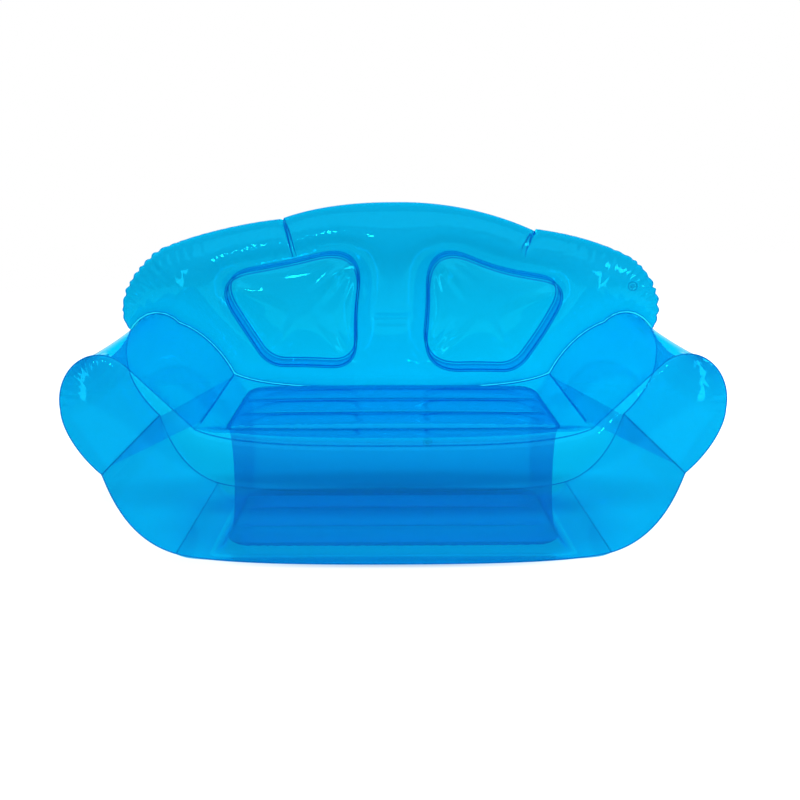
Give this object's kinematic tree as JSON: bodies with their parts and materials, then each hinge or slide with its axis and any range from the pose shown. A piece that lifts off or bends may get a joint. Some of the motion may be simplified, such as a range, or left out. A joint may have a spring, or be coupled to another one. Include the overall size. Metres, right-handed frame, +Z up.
{
  "type": "inflatable sofa",
  "caption": "Inflatable sofa of clear blue film for two, with an air-filled base, flared round arms, a set-in channelled seat pad and an arched backrest with ringed pillow panels.",
  "frame": {"origin": "on the floor, below the middle of the sofa's bounding box", "axes": "+X along the sofa to its right arm as seen from the front, +Y from front to rear, +Z up"},
  "size_m": [1.7976, 0.9004, 0.9499],
  "materials": {
    "clear_film": "clear tinted vinyl film, glossy",
    "pad_film": "clear tinted vinyl film, glossy, puckered at its welds",
    "inner_film": "clear tinted vinyl film inside the air chamber",
    "weld_film": "double film, welded flat",
    "valve_vinyl": "soft clear moulded vinyl"
  },
  "bodies": {
    "root": {"base_front_panel": "clear_film", "base_rear_panel": "clear_film", "seat_panel": "clear_film", "seat_pad": "pad_film", "base_bottom_panel": "clear_film", "bottom_pad": "pad_film", "seat_box_baffle": "inner_film", "backrest_front_panel": "clear_film", "backrest_rear_panel": "clear_film", "backrest_weld_strip": "weld_film", "right_arm_wrap": "clear_film", "left_arm_wrap": "clear_film", "right_flank": "clear_film", "left_flank": "clear_film", "right_arm_baffle": "inner_film", "left_arm_baffle": "inner_film", "right_window_front": "pad_film", "left_window_front": "pad_film", "right_window_rear": "pad_film", "left_window_rear": "pad_film", "right_window_baffle": "inner_film", "left_window_baffle": "inner_film", "base_valve_flange": "valve_vinyl", "base_valve_skirt": "valve_vinyl", "base_valve_strap": "valve_vinyl", "backrest_valve_flange": "valve_vinyl", "backrest_valve_skirt": "valve_vinyl", "backrest_valve_strap": "valve_vinyl"},
    "base_neck": {"base_valve_neck": "valve_vinyl"},
    "base_flap": {"base_valve_flap": "valve_vinyl"},
    "base_plug": {"base_valve_plug": "valve_vinyl"},
    "backrest_neck": {"backrest_valve_neck": "valve_vinyl"},
    "backrest_flap": {"backrest_valve_flap": "valve_vinyl"},
    "backrest_plug": {"backrest_valve_plug": "valve_vinyl"}
  },
  "joints": [
    {"name": "base_valve_pop", "type": "slide", "parent": "root", "child": "base_neck", "axis": [-0.0002, 1, -0.0009], "range_m": [0, 0.012], "deforming": ["base_valve_skirt", "base_valve_strap"]},
    {"name": "base_valve_plug_pull", "type": "slide", "parent": "base_neck", "child": "base_plug", "axis": [-0.0002, 1, -0.0009], "range_m": [0, 0.012], "deforming": ["base_valve_strap"]},
    {"name": "base_valve_flap_swing", "type": "hinge", "parent": "base_neck", "child": "base_flap", "pos_m": [0.11496, 0.37643, 0.16885], "axis": [-1, -0.0002, -0.0002], "range_deg": [0, 40]},
    {"name": "backrest_valve_pop", "type": "slide", "parent": "root", "child": "backrest_neck", "axis": [0.155, 0.9879, 0.0072], "range_m": [0, 0.012], "deforming": ["backrest_valve_skirt", "backrest_valve_strap"]},
    {"name": "backrest_valve_plug_pull", "type": "slide", "parent": "backrest_neck", "child": "backrest_plug", "axis": [0.155, 0.9879, 0.0072], "range_m": [0, 0.012], "deforming": ["backrest_valve_strap"]},
    {"name": "backrest_valve_flap_swing", "type": "hinge", "parent": "backrest_neck", "child": "backrest_flap", "pos_m": [0.76941, 0.3976, 0.6742], "axis": [-0.9762, 0.152, 0.155], "range_deg": [0, 40]}
  ]
}
